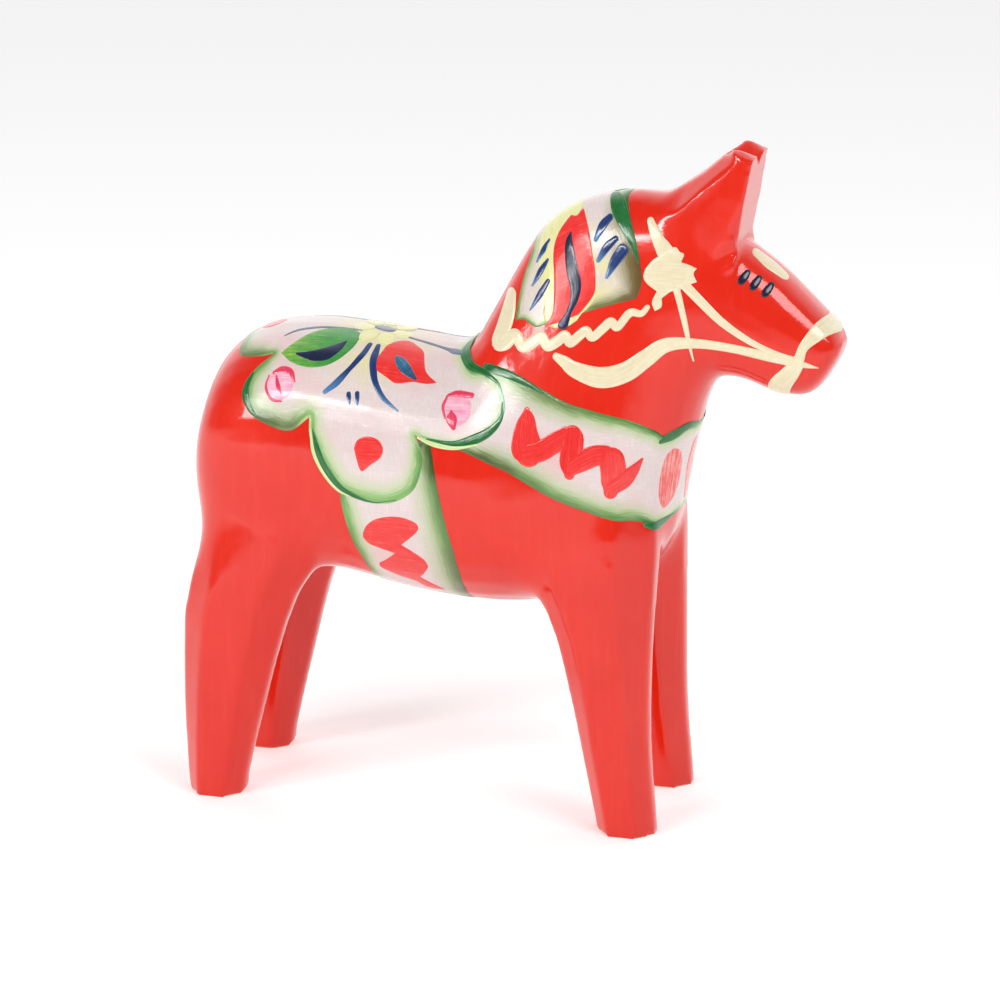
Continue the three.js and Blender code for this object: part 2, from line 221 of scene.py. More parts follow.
def field_material(name, yellow_at=None, fresh=LEAFY, dull=OLIVE):
    """Blush-white ground whose border is shaded in green with a loaded brush pulled along it. Along parts of
    the border a pale lime painted highlight lies on the raised edge of the paint.
    """
    shader = Shader(name)
    position = shader.position()
    brush = shader.attribute("brush").outputs["Vector"]
    edge = shader.attribute("edge").outputs["Fac"]
    reach, dark, olive, mint, lime_highlight = (shader.attribute(word).outputs["Fac"] for word in BORDER_WORDS)
    round_border = shader.attribute("rim").outputs["Fac"]
    inward = shader.math("MULTIPLY", edge, 3.4)
    pulled = shader.noise(shader.combine(shader.math("MULTIPLY", round_border, 0.3), inward), 1, 4, 0.6)
    uneven = shader.math("SUBTRACT", pulled, 0.5)
    broad = shader.noise(position, 75, 2)
    hair = shader.noise(shader.stretch(brush, (0.35, 5, 1)), 1, 4)
    weave = shader.noise(shader.stretch(brush, (5, 0.35, 1)), 1, 4)
    ground = shader.mix(shader.span(hair, 0.42, 0.75), BLUSH, rgb(222, 202, 200))
    ground = shader.mix(shader.span(weave, 0.5, 0.8), ground, rgb(240, 231, 230))
    ground = shader.mix(shader.span(broad, 0.5, 0.85), ground, rgb(236, 190, 186))
    if yellow_at:
        near = shader.math("SUBTRACT", 1, shader.span(shader.away_from(brush, yellow_at), 4, 13))
        near = shader.math("MULTIPLY", near, shader.span(shader.noise(position, 260, 3), 0.3, 0.65))
        ground = shader.mix(near, ground, rgb(232, 228, 160))
    depth = shader.math("ADD", edge, shader.math("MULTIPLY", uneven, 1.9))
    share = shader.math("DIVIDE", depth, reach)
    green = shader.mix(olive, fresh[0], dull[0])
    pale = shader.mix(olive, fresh[1], dull[1])
    green = shader.mix(mint, green, rgb(132, 196, 168))
    green = shader.mix(shader.span(share, 0.1, 0.62), green, pale)
    colour = shader.mix(shader.span(share, 0.34, 1.05), green, ground)
    shade = shader.mix(olive, rgb(26, 104, 34), rgb(74, 72, 40))
    shade = shader.mix(mint, shade, rgb(38, 112, 84))
    line = shader.math("SUBTRACT", 1, shader.span(share, 0.08, 0.42))
    colour = shader.mix(shader.math("MULTIPLY", line, dark, clamp=True), colour, shade)
    # A pale lime painted highlight on the rounded edge of the raised paint, just inside the border.
    edge_highlight = shader.math("SUBTRACT", 1, shader.span(edge, 0.2, 0.75))
    colour = shader.mix(shader.math("MULTIPLY", edge_highlight, lime_highlight, clamp=True), colour, rgb(214, 230, 164))
    relief = shader.math("ADD", hair, shader.math("MULTIPLY", weave, 0.8))
    relief = shader.math("ADD", relief, shader.math("MULTIPLY", pulled, 0.7))
    roughness = shader.math("ADD", shader.math("MULTIPLY", hair, 0.16), 0.3)
    return shader.finish(colour, roughness, shader.bump(relief, 0.3, 0.07), 0.85, 0.09)


def stroke_material(name, stops, lengthwise=0.0, tail=None, streaks=1.0):
    """Paint pulled along by a brush. The streaks run along the stroke; tail tints its far end."""
    shader = Shader(name)
    brush = shader.attribute("brush").outputs["Vector"]
    run = shader.attribute("run").outputs["Fac"]
    edge = shader.attribute("edge").outputs["Fac"]
    hair = shader.noise(shader.stretch(brush, (0.16, 4.2, 1)), 1, 5, 0.6)
    blot = shader.noise(shader.stretch(brush, (0.7, 0.7, 1)), 1, 3)
    tone = shader.math("MULTIPLY", hair, streaks)
    tone = shader.math("ADD", tone, shader.math("MULTIPLY", run, lengthwise))
    tone = shader.math("ADD", tone, shader.math("MULTIPLY", shader.math("SUBTRACT", blot, 0.5), 0.35))
    colour = shader.ramp(tone, stops)
    if tail:
        colour = shader.mix(shader.math("MULTIPLY", shader.span(run, 0.55, 1), 0.75), colour, tail)
    thin = shader.math("MULTIPLY", shader.math("SUBTRACT", 1, shader.span(edge, 0, 0.22)), 0.22)
    colour = shader.mix(thin, colour, stops[-1][1])
    relief = shader.math("ADD", hair, shader.math("MULTIPLY", blot, 0.5))
    roughness = shader.math("ADD", shader.math("MULTIPLY", blot, 0.15), 0.26)
    return shader.finish(colour, roughness, shader.bump(relief, 0.4, 0.08), 0.9, 0.08)


def plain_stage_material(name, colour, roughness, glow):
    shader = Shader(name)
    inputs = shader.principled.inputs
    inputs["Base Color"].default_value = colour
    inputs["Roughness"].default_value = roughness
    inputs["Specular IOR Level"].default_value = 0.2
    inputs["Emission Color"].default_value = colour
    inputs["Emission Strength"].default_value = glow
    return shader.material


# ---------------------------------------------------------------- the whittled body

VOXEL = 0.62
SMOOTH_PASSES = 70
# Each pass smooths and then swells back a little more, so that the body keeps its size.
SMOOTH_SHARE = 0.55
SWELL_SHARE = 0.57
# How much of the smoothing the legs, and the ears and nose, are spared.
LEG_SPARED = 0.72
SHARP_SPARED = 0.88
FILL_PASSES = 150
POLISH_PASSES = 6
# Where the hind leg runs into the rump.
HIP = (7, 14, 56)
HIP_PASSES = 160
HAUNCH_TRIM = 0.8
# Knife cuts at the ears: a point on the cut, its direction outwards, and how far it goes.
EAR_CUTS = [
    ((107.9, 6.4, 118), (0.62, 0.75, -0.2), 7),
    ((100, 7.2, 122), (-0.56, 0.51, 0.65), 10),
    ((107, 6, 128.2), (0.3, 0.31, 0.9), 6),
]
# The plane that the fronts of both ears lie in.
FRONT_POINT = (107.35, 0, 120)
FRONT_FACING = (0.986, 0, -0.165)
FRONT_DEPTH = 1.6
# An eye socket is a nick: its centre, its reach along, out of and across the cut, and its depth.
SOCKET = (105.2, 8.2, 110.6)
SOCKET_SIZE = (3.4, 2.6, 1.7)
SOCKET_DEPTH = 1.9


def new_object(name, mesh):
    piece = bpy.data.objects.new(name, mesh)
    bpy.context.scene.collection.objects.link(piece)
    return piece


def fine_copy(node):
    """A CAD solid remeshed into small even faces."""
    rough = new_object("rough_copy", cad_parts[node].data.copy())
    remesh = rough.modifiers.new("remesh", "REMESH")
    remesh.mode = "VOXEL"
    remesh.voxel_size = VOXEL * MM
    bpy.context.view_layer.update()
    graph = bpy.context.evaluated_depsgraph_get()
    mesh = bpy.data.meshes.new_from_object(rough.evaluated_get(graph))
    bpy.data.objects.remove(rough)
    return mesh


def vertex_array(mesh, what="co"):
    values = np.empty(len(mesh.vertices) * 3)
    source = mesh.vertices if what == "co" else mesh.vertex_normals
    source.foreach_get("co" if what == "co" else "vector", values)
    return values.reshape(-1, 3)


class Relaxer:
    """Moves vertices towards the average of their neighbours."""

    def __init__(self, mesh):
        self.mesh = mesh
        self.points = vertex_array(mesh)
        edges = np.empty(len(mesh.edges) * 2, int)
        mesh.edges.foreach_get("vertices", edges)
        edges = edges.reshape(-1, 2)
        self.start = np.concatenate([edges[:, 0], edges[:, 1]])
        self.end = np.concatenate([edges[:, 1], edges[:, 0]])
        self.degree = np.bincount(self.start, minlength=len(self.points))

    def pull(self):
        total = [np.bincount(self.start, self.points[self.end, i], len(self.points)) for i in range(3)]
        return np.stack(total, 1) / self.degree[:, None] - self.points

    def smooth(self, weight):
        self.points += self.pull() * weight[:, None]

    def normals(self):
        self.store()
        return vertex_array(self.mesh, "normal")

    def fill(self, weight, passes, refresh=10):
        """Raises hollows until they are soft, and leaves ridges as they are."""
        for turn in range(passes):
            if turn % refresh == 0:
                normal = self.normals()
            rise = np.clip((self.pull() * normal).sum(1), 0, None) * weight
            self.points += rise[:, None] * normal

    def store(self):
        self.mesh.vertices.foreach_set("co", self.points.ravel())
        self.mesh.update()


def cut(points, cuts):
    """Planes cut with a knife, on the right and mirrored on the left."""
    for side in (-1, 1):
        for corner, facing, room in cuts:
            normal = np.array((facing[0], facing[1] * side, facing[2]), float)
            normal /= np.linalg.norm(normal)
            start = np.array(place(corner[0], corner[1] * side, corner[2]))
            over = np.clip((points - start) @ normal, 0, None)
            away = np.linalg.norm(points - start, axis=1) / MM
            points -= (over * (1 - smoothstep(0.6 * room, room, away)))[:, None] * normal


def carve_ears(points, normals):
    """Flattens the fronts of the ears, trims their corners and nicks the eye sockets below them."""
    z = points[:, 2] / MM
    front = np.array(FRONT_FACING) / np.linalg.norm(FRONT_FACING)
    gap = (points - np.array(place(*FRONT_POINT))) @ front
    flat = np.where(gap > 0, 1, smoothstep(0.5, 0.8, normals @ front)) * (np.abs(gap) < FRONT_DEPTH * MM)
    flat *= smoothstep(110, 112, z) * (1 - smoothstep(127, 128.6, z))
    points -= (gap * flat)[:, None] * front
    cut(points, EAR_CUTS)
    for side in (-1, 1):
        gap = (points - np.array(place(SOCKET[0], SOCKET[1] * side, SOCKET[2]))) / MM
        along, across = (gap[:, 0] + gap[:, 2]) / math.sqrt(2), (gap[:, 2] - gap[:, 0]) / math.sqrt(2)
        away = np.linalg.norm(np.column_stack([along, gap[:, 1], across]) / SOCKET_SIZE, axis=1)
        points[:, 1] -= side * SOCKET_DEPTH * MM * np.clip(1 - away, 0, 1)


def whittled_body():
    """One block of pine: the facets of the CAD solid rounded, the leg and ear joints carved smooth."""
    mesh = fine_copy("carved_body")
    relaxer = Relaxer(mesh)
    x = relaxer.points[:, 0] / MM - ORIGIN_X
    y = relaxer.points[:, 1] / MM
    z = relaxer.points[:, 2] / MM
    sole = 0.85 * (1 - smoothstep(0.2, 1.8, z))
    leg = 1 - smoothstep(38, 54, z)
    ear = smoothstep(112, 119, z) * smoothstep(86, 93, x)
    nose = smoothstep(99, 107, x) * smoothstep(88, 95, z)
    sharp = np.maximum(ear, nose)
    free = np.clip(1 - LEG_SPARED * leg - SHARP_SPARED * sharp, 0, 1) * (1 - sole)
    for _ in range(SMOOTH_PASSES):
        relaxer.smooth(SMOOTH_SHARE * free)
        relaxer.smooth(-SWELL_SHARE * free)
    haunch = smoothstep(34, 44, z) * (1 - smoothstep(54, 60, z)) * (1 - smoothstep(4, 12, x))
    relaxer.points[:, 0] += HAUNCH_TRIM * MM * haunch
    from_hip = np.sqrt((x - HIP[0]) ** 2 + (np.abs(y) - HIP[1]) ** 2 + ((z - HIP[2]) / 1.4) ** 2)
    for _ in range(HIP_PASSES):
        relaxer.smooth(0.5 * (1 - smoothstep(5, 12, from_hip)))
    hip = smoothstep(34, 44, z) * (1 - smoothstep(72, 80, z))
    ear_root = smoothstep(104, 110, z) * smoothstep(80, 88, x) * (1 - smoothstep(119, 122, z))
    ear_root *= 1 - smoothstep(94, 99, x)
    relaxer.fill(0.9 * np.clip(hip + ear_root, 0, 1), FILL_PASSES)
    carve_ears(relaxer.points, relaxer.normals())
    for _ in range(POLISH_PASSES):
        relaxer.smooth(0.5 * np.clip(1 - 0.72 * sharp - sole, 0.05, 1))
    relaxer.points[:, 2] = np.where(z < 0.7, np.clip(relaxer.points[:, 2], 0, None), relaxer.points[:, 2])
    relaxer.points[:, 2] -= relaxer.points[:, 2].min()
    relaxer.store()
    normals = vertex_array(mesh, "normal")
    bare = (z < 0.6) & (normals[:, 2] < -0.8)
    mesh.attributes.new("bare", "FLOAT", "POINT").data.foreach_set("value", bare.astype(float))
    mesh.polygons.foreach_set("use_smooth", [True] * len(mesh.polygons))
    mesh.materials.clear()
    mesh.materials.append(lacquer_material())
    body = new_object("whittled_body", mesh)
    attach(body, "root")
    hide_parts("carved_body")
    return body


# ---------------------------------------------------------------- paint on the body


class Skin:
    """The body's surface, which paint is pressed on."""

    SOFTEN = 0.75

    def __init__(self, mesh):
        mesh.calc_loop_triangles()
        corners = np.empty(len(mesh.loop_triangles) * 3, int)
        mesh.loop_triangles.foreach_get("vertices", corners)
        self.corners = corners.reshape(-1, 3)
        self.points = vertex_array(mesh)
        self.normals = vertex_array(mesh, "normal")
        self.tree = BVHTree.FromPolygons(self.points.tolist(), self.corners.tolist(), all_triangles=True)

    def hit(self, origin, direction):
        """Where a ray from inside meets the surface, rounded across each face, and the normal there."""
        at, _, index, _ = self.tree.ray_cast(origin, direction)
        if at is None:
            return None
        point = np.array(at)
        corner = self.points[self.corners[index]]
        normal = self.normals[self.corners[index]]
        one, two, reach = corner[1] - corner[0], corner[2] - corner[0], point - corner[0]
        a, b, c = one @ one, one @ two, two @ two
        d, e = reach @ one, reach @ two
        share_one, share_two = np.array([c * d - b * e, a * e - b * d]) / (a * c - b * b)
        share = np.array([1 - share_one - share_two, share_one, share_two])
        onto = point - ((point - corner) * normal).sum(1)[:, None] * normal
        rounded = (1 - self.SOFTEN) * point + self.SOFTEN * (share @ onto)
        facing = share @ normal
        return rounded, facing / np.linalg.norm(facing)


class Wrap:
    """A cylinder round the body that paint is drawn on. A mark is (distance along the axis, degrees round
    from up), positive on the horse's right. Unrolled, the degrees become lengths at the given radius."""

    def __init__(self, origin, along, up, radius):
        self.origin = place(*origin)
        self.along = Vector(along).normalized()
        self.up = Vector(up).normalized()
        self.per_degree = radius * math.pi / 180

    def flat(self, marks):
        unrolled = np.array(marks, float)
        unrolled[:, 1] *= self.per_degree
        return unrolled

    def ray(self, mark, side):
        angle = math.radians(mark[1] / self.per_degree)
        outward = self.up * math.cos(angle) + Vector((0, -side, 0)) * math.sin(angle)
        return self.origin + self.along * (mark[0] * MM), outward


class Flank:
    """The side view: a mark is (x, z)."""

    def flat(self, marks):
        return np.array(marks, float)

    def ray(self, mark, side):
        return place(mark[0], 0, mark[1]), Vector((0, -side, 0))


TORSO = Wrap((0, 0, 67), (1, 0, 0), (0, 0, 1), 19)
CREST = Wrap((66, 0, 88), (24, 0, 12), (-12, 0, 24), 16)
CHEST = Wrap((75, 0, 0), (0, 0, 1), (1, 0, 0), 20)
HEAD = Wrap((92, 0, 104), (28, 0, -13), (13, 0, 28), 9)
FLANK = Flank()

BATCH = 1500


def smooth_path(points, step):
    """A curve through all the points, with a new point about every step."""
    points = np.array(points, float)
    padded = np.vstack([2 * points[0] - points[1], points, 2 * points[-1] - points[-2]])
    samples = []
    for before, start, end, after in zip(padded, padded[1:], padded[2:], padded[3:]):
        count = max(2, math.ceil(np.linalg.norm((end - start)[:2]) / step))
        for t in np.arange(count) / count:
            curve = 2 * start + (end - before) * t + (2 * before - 5 * start + 4 * end - after) * t**2
            samples.append((curve + (3 * start - before - 3 * end + after) * t**3) / 2)
    samples.append(points[-1])
    return np.array(samples)


def nearest_on(points, path, closed):
    """For each point: the path piece that lies nearest, how far along that piece, and the distance."""
    start = path if closed else path[:-1]
    step = (np.roll(path, -1, 0) if closed else path[1:])[: len(start)] - start
    length = np.maximum((step[:, :2] ** 2).sum(1), 1e-12)
    found = []
    for first in range(0, len(points), BATCH):
        some = points[first : first + BATCH, None]
        t = np.clip(((some - start[:, :2]) * step[:, :2]).sum(2) / length, 0, 1)
        gap = some - start[:, :2] - t[..., None] * step[:, :2]
        distance = np.sqrt((gap**2).sum(2))
        if path.shape[1] == 3:
            distance = distance - (start[:, 2] + t * step[:, 2]) / 2
        piece = distance.argmin(1)
        rows = np.arange(len(piece))
        found.append(np.stack([piece, t[rows, piece], distance[rows, piece]], 1))
    return np.vstack(found)


def inside(points, ring):
    """Which points lie within the closed ring."""
    odd = np.zeros(len(points), bool)
    for (ax, ay), (bx, by) in zip(ring, np.roll(ring, -1, 0)):
        if ay != by:
            crosses = (ay > points[:, 1]) != (by > points[:, 1])
            odd ^= crosses & (points[:, 0] < (bx - ax) * (points[:, 1] - ay) / (by - ay) + ax)
    return odd


class Patch:
    """A filled shape, drawn as smooth curves that meet at its corners."""

    def __init__(self, wrap, curves, grid=0.5):
        self.wrap = wrap
        self.grid = grid
        self.ring = np.vstack([smooth_path(wrap.flat(curve), grid * 0.7)[:-1] for curve in curves])

    def read(self, points):
        """Depth inside the border, place for brush marks, how far along the shape, and round its border."""
        found = nearest_on(points, self.ring, True)
        steps = np.linalg.norm(np.roll(self.ring, -1, 0) - self.ring, axis=1)
        start = np.concatenate([[0], np.cumsum(steps)])
        piece = found[:, 0].astype(int)
        span = np.ptp(self.ring[:, 0])
        along = (points[:, 0] - self.ring[:, 0].min()) / span
        return found[:, 2], points, along, start[piece] + found[:, 1] * steps[piece]


class Stroke:
    """One pull of the brush: each mark is (mark, mark, width)."""

    def __init__(self, wrap, marks, grid=0.3):
        self.wrap = wrap
        self.grid = grid
        flat = wrap.flat([mark[:2] for mark in marks])
        widths = np.array([mark[2] for mark in marks], float)
        path = smooth_path(np.column_stack([flat, widths]), grid)
        path[:, 2] = np.clip(path[:, 2], 0.15, None)
        self.path = path
        steps = np.linalg.norm(np.diff(path[:, :2], axis=0), axis=1)
        self.run = np.concatenate([[0], np.cumsum(steps)])
        self.ring = self.outline(path)

    @staticmethod
    def outline(path):
        ahead = np.gradient(path[:, :2], axis=0)
        ahead /= np.linalg.norm(ahead, axis=1)[:, None]
        across = np.column_stack([-ahead[:, 1], ahead[:, 0]])
        half = path[:, 2:3] / 2
        caps = []
        for end, turn in ((-1, 1), (0, -1)):
            angles = np.arange(1, 8) * math.pi / 8
            cosine, sine = np.cos(angles)[:, None], np.sin(angles)[:, None]
            sweep = turn * (across[end] * cosine) + turn * ahead[end] * sine
            caps.append(path[end, :2] + sweep * half[end])
        left = path[:, :2] + across * half
        right = path[:, :2] - across * half
        return np.vstack([left, caps[0], right[::-1], caps[1]])

    def read(self, points):
        found = nearest_on(points, self.path, False)
        piece = found[:, 0].astype(int)
        along = self.run[piece] + found[:, 1] * (self.run[piece + 1] - self.run[piece])
        start = self.path[piece, :2]
        step = self.path[piece + 1, :2] - start
        step /= np.maximum(np.linalg.norm(step, axis=1), 1e-9)[:, None]
        gap = points - start
        across = step[:, 0] * gap[:, 1] - step[:, 1] * gap[:, 0]
        return -found[:, 2], np.column_stack([along, across]), along / self.run[-1], along


def oval(wrap, centre, size, lean=0.0, grid=0.3):
    """A round dab: size is its length along and round the wrap in millimetres, lean turns it in degrees."""
    unit = wrap.flat([(0, 1)])[0, 1]
    turn = math.radians(lean)
    marks = []
    for step in range(16):
        angle = step * math.pi / 8
        along, across = size[0] / 2 * math.cos(angle), size[1] / 2 * math.sin(angle)
        x = along * math.cos(turn) - across * math.sin(turn)
        y = along * math.sin(turn) + across * math.cos(turn)
        marks.append((centre[0] + x, centre[1] + y / unit))
    return Patch(wrap, [marks + marks[:1]], grid)


# How deep a shell of paint reaches into the wood, how soon its border rounds off, and how much higher
# each further shell of one piece lies.
SINK = 0.14
ROUND_OFF = 0.16
SHELL_STEP = 0.015
STROKE_HEIGHT = 0.1


def fill_points(shape):
    """Points that fill a shape: its ring, two rows just inside it, and an even grid."""
    ring = shape.ring
    low, high = ring.min(0), ring.max(0)
    columns = np.arange(low[0], high[0], shape.grid)
    rows = np.arange(low[1], high[1], shape.grid * 0.87)
    grid = np.array([(x + (i % 2) * shape.grid / 2, y) for i, y in enumerate(rows) for x in columns])
    ahead = np.roll(ring, -1, 0) - np.roll(ring, 1, 0)
    ahead /= np.maximum(np.linalg.norm(ahead, axis=1), 1e-9)[:, None]
    across = np.column_stack([-ahead[:, 1], ahead[:, 0]])
    chosen = [ring]
    for inset in (0.3 * shape.grid, 0.8 * shape.grid):
        for sign in (1, -1):
            row = ring + sign * across * inset
            row = row[inside(row, ring)]
            if len(row):
                chosen.append(row[shape.read(row)[0] > 0.9 * inset])
    grid = grid[inside(grid, ring)]
    if len(grid):
        chosen.append(grid[shape.read(grid)[0] > 1.3 * shape.grid])
    return np.vstack(chosen)


def flat_area(a, b, c):
    """Twice the area of a triangle on the unrolled surface."""
    one, two = b - a, c - a
    return abs(one[0] * two[1] - one[1] * two[0])


def press(skin, shape, side, base, height):
    """One closed shell of paint: its top follows the wood at base + height and rolls down at the border."""
    points = fill_points(shape)
    count = len(shape.ring)
    loop = [(i, (i + 1) % count) for i in range(count)]
    flat, _, faces, _, _, _ = delaunay_2d_cdt([Vector(p) for p in points], loop, [], 1, 1e-5)
    flat = np.array([tuple(p) for p in flat])
    depth, brush, run, rim = shape.read(flat)
    lift = base + height * (1 - np.exp(-np.clip(depth, 0, None) / ROUND_OFF))
    top, bottom, facing = [], [], []
    for mark, up in zip(flat, lift):
        point, normal = skin.hit(*shape.wrap.ray(mark, side))
        top.append(point + normal * up * MM)
        bottom.append(point + normal * (base - SINK) * MM)
        facing.append(normal)
    faces = [tuple(face) for face in faces]
    first = max(faces, key=lambda face: flat_area(*flat[list(face)]))
    a, b, c = (top[i] for i in first)
    if np.cross(b - a, c - a) @ facing[first[0]] < 0:
        faces = [face[::-1] for face in faces]
    total = len(flat)
    sides = {}
    for face in faces:
        for i, start in enumerate(face):
            sides[(start, face[(i + 1) % 3])] = True
    walls = [(b, a, a + total, b + total) for a, b in sides if (b, a) not in sides]
    under = [tuple(i + total for i in reversed(face)) for face in faces]
    return {
        "points": top + bottom,
        "faces": faces + under + walls,
        "edge": np.tile(np.clip(depth, 0, None), 2),
        "brush": np.tile(np.column_stack([brush, np.zeros(total)]), (2, 1)),
        "run": np.tile(run, 2),
        "rim": np.tile(rim, 2),
    }


def border_load(wrap, flat, marks):
    """How the border brush was loaded and pressed near each point, blended from the marks round about."""
    spots = np.array(marks, float)
    turned = np.abs((flat[:, 1] / wrap.per_degree + 180) % 360 - 180)
    gap = (flat[:, :1] - spots[:, 0]) ** 2 + ((turned[:, None] - spots[:, 1]) * wrap.per_degree) ** 2
    weight = 1 / (gap + 1.5) ** 2
    return (weight @ spots[:, 2:]) / weight.sum(1)[:, None]


def paint(name, skin, shapes, material, replaces=(), side=RIGHT, base=0.0, height=0.12, border=None):
    """A painted piece made of one or more shells. Each shell after the first lies a hair higher."""
    points, faces, brush = [], [], []
    numbers = {"edge": [], "run": [], "rim": []}
    for number, shape in enumerate(shapes):
        shell = press(skin, shape, side, base + SHELL_STEP * number, height)
        faces += [tuple(i + len(points) for i in face) for face in shell["faces"]]
        points += shell["points"]
        brush.append(shell["brush"] + np.array([0, 0, 3.7 * number + (side == LEFT) * 1.9]))
        for word, values in numbers.items():
            values.append(shell[word])
    mesh = bpy.data.meshes.new(name)
    mesh.from_pydata([tuple(p) for p in points], [], faces)
    mesh.polygons.foreach_set("use_smooth", [True] * len(mesh.polygons))
    for word, values in numbers.items():
        mesh.attributes.new(word, "FLOAT", "POINT").data.foreach_set("value", np.concatenate(values))
    mesh.attributes.new("brush", "FLOAT_VECTOR", "POINT").data.foreach_set("vector", np.vstack(brush).ravel())
    if border:
        load = border_load(shapes[0].wrap, np.vstack(brush), border)
        for word, values in zip(BORDER_WORDS, load.T):
            layer = mesh.attributes.new(word, "FLOAT", "POINT")
            layer.data.foreach_set("value", np.ascontiguousarray(values))
    mesh.materials.append(material)
    piece = new_object(name, mesh)
    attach(piece, "root")
    if replaces:
        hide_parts(*replaces)
    return piece


def both_halves(curves, turn=0):
    """The right half's curves followed by their mirror images. turn is twice the mirror's angle."""
    flipped = [[(s, turn - degrees) for s, degrees in reversed(curve)] for curve in reversed(curves)]
    return curves + flipped


# The saddle blanket on the torso wrap, from the withers round its four scallops to the croup.
BLANKET = [
    [(55.6, 0), (55.4, 9), (55, 16), (57.1, 27), (60.3, 31), (63.2, 36), (64.8, 45), (64.9, 52), (63, 63),
     (60.1, 69), (56, 71.5), (50.8, 70), (48.3, 67)],
    [(48.3, 67), (49.8, 75), (50, 85), (48.5, 97), (45, 104), (40.9, 106), (36.3, 103), (33, 98),
     (29.8, 85), (28.1, 72), (27.8, 62)],
    [(27.8, 62), (24.3, 69.5), (20.2, 68), (15.8, 62), (13.7, 52), (14, 44), (15.7, 37), (18.6, 30)],
    [(18.6, 30), (15.6, 30.5), (12, 28), (10.2, 21), (9.9, 9), (9.9, 0)],
]
GIRTH = [
    [(51, 66), (51.9, 78), (52.8, 92), (54.3, 111), (55.9, 131), (56.4, 149), (56.6, 180)],
]
GIRTH_BACK = [
    [(38.2, 180), (37.8, 158), (36.9, 141), (35.5, 127), (34.3, 109), (33.9, 97)],
    [(33.9, 97), (41, 84), (51, 66)],
]
COLLAR_UPPER = [(77, 0), (77.1, 9), (77.1, 17), (76.1, 28), (77.6, 35), (79.7, 48), (81.2, 67), (82.5, 85),
                (84.6, 105), (86.8, 128), (87.6, 146)]
COLLAR_BACK = [(87.6, 146), (80, 141), (73, 137)]
COLLAR_LOWER = [(73, 137), (70.6, 125), (69.2, 116), (67, 104), (64.5, 88), (62.8, 73), (61.2, 58),
                (60.6, 44), (59.2, 34), (59, 20), (60.1, 0)]
MANE = [
    [(31, 0), (30.7, 13), (30.5, 22), (30.2, 34), (29.5, 50), (28.4, 66), (26.4, 78)],
    [(26.4, 78), (19, 73), (14, 70.5), (9.2, 67.5), (6.4, 66), (5.2, 60), (4.2, 54), (2.4, 50)],
    [(2.4, 50), (3.6, 38), (6.1, 23), (9.6, 11), (10.4, 0)],
]


# How the borders are brushed: (along, degrees, reach of the green in millimetres, then how dark, how olive
# and how minty the border is there, and how strong the painted lime highlight on its raised edge is, each
# from 0 to 1).
BLANKET_BORDER = [
    (55.4, 3, 3.5, 0.6, 0.1, 0, 0), (55.2, 14, 3.5, 0.9, 0, 0, 0), (57.1, 27, 3, 1, 0, 0, 0),
    (62, 34, 2.2, 0.5, 0, 0.5, 0), (64.8, 45, 2, 0.15, 0, 0.9, 0), (64, 58, 3.2, 0.35, 0, 0.6, 0),
    (60.1, 69, 2.6, 0.8, 0, 0.7, 0.6), (56, 71.5, 2, 0.9, 0, 0.9, 1), (51.5, 70.5, 2, 0.7, 0, 0.6, 1),
    (48.3, 67, 1.6, 0.3, 0, 0.3, 0.3), (50, 78, 4, 0.5, 0.1, 0, 0), (50, 90, 4.2, 0.5, 0, 0, 0),
    (46, 102.5, 4.4, 0.25, 0, 0, 0.2), (40.9, 106, 5, 0.15, 0, 0, 0.5), (35, 101.5, 4.6, 0.5, 0, 0, 0.9),
    (31, 91, 5.4, 1, 0, 0, 1), (29, 79, 5, 0.9, 0, 0, 1), (27.9, 67, 3, 0.6, 0, 0, 0.8),
    (24.3, 69, 5, 0.5, 0.9, 0, 0.1), (19, 66.5, 6, 0.7, 0.8, 0, 0), (14.8, 57, 5.6, 0.7, 0.5, 0, 0),
    (13.9, 47, 5, 0.6, 0.3, 0, 0), (16, 36.5, 4, 0.4, 0.3, 0, 0), (18.6, 30, 1.8, 0.1, 0.6, 0, 0),
    (14.5, 30, 4, 0.3, 0.9, 0, 0), (11, 25, 5, 0.4, 0.8, 0, 0), (9.9, 14, 4, 0.2, 0.7, 0, 0),
    (9.9, 3, 2.5, 0.1, 0.6, 0, 0),
]
GIRTH_BORDER = [
    (51, 66, 5, 1, 0.8, 0, 0), (52, 80, 5.5, 1, 0.7, 0, 0), (53.3, 98, 6, 0.6, 0.5, 0, 0),
    (54.8, 116, 6.4, 0.5, 0.5, 0, 0), (56, 135, 7, 0.5, 0.8, 0, 0), (56.5, 160, 7, 0.6, 1, 0, 0),
    (56.6, 178, 6, 0.5, 1, 0, 0), (33.9, 99, 3, 0.6, 0.3, 0, 0), (34.6, 113, 4.4, 0.3, 0.1, 0, 0.1),
    (35.9, 130, 4, 0.4, 0.3, 0, 0), (37.2, 146, 3, 0.4, 0.6, 0, 0), (38.1, 170, 2.6, 0.4, 0.6, 0, 0),
]
COLLAR_BORDER = [
    (77, 2, 2.4, 0.6, 0, 0, 0), (77, 14, 2.6, 0.9, 0, 0, 0), (76.4, 28, 3, 0.9, 0, 0, 0),
    (79, 44, 3.4, 0.5, 0.3, 0, 0), (81.2, 67, 3.8, 0.4, 0.5, 0, 0), (82.5, 85, 4.8, 0.4, 0.7, 0, 0),
    (84.6, 105, 5.6, 0.4, 0.7, 0, 0), (86.8, 128, 4.4, 0.8, 0.2, 0.2, 0), (87.6, 144, 3, 1, 0, 0.3, 0),
    (80, 141, 2, 0.3, 0.2, 0, 0), (73, 137, 2.4, 0.7, 0.8, 0, 0), (70.2, 121, 4.6, 0.8, 0.8, 0, 0),
    (67, 104, 5, 0.6, 0.5, 0, 0), (64.5, 88, 5, 0.5, 0.4, 0, 0), (62.4, 68, 4.6, 0.5, 0.4, 0, 0),
    (61, 50, 4, 0.5, 0.3, 0, 0), (59.4, 35, 3, 1, 0.1, 0, 0), (59, 20, 2.8, 0.9, 0, 0, 0),
    (60, 2, 2.4, 0.6, 0, 0, 0),
]
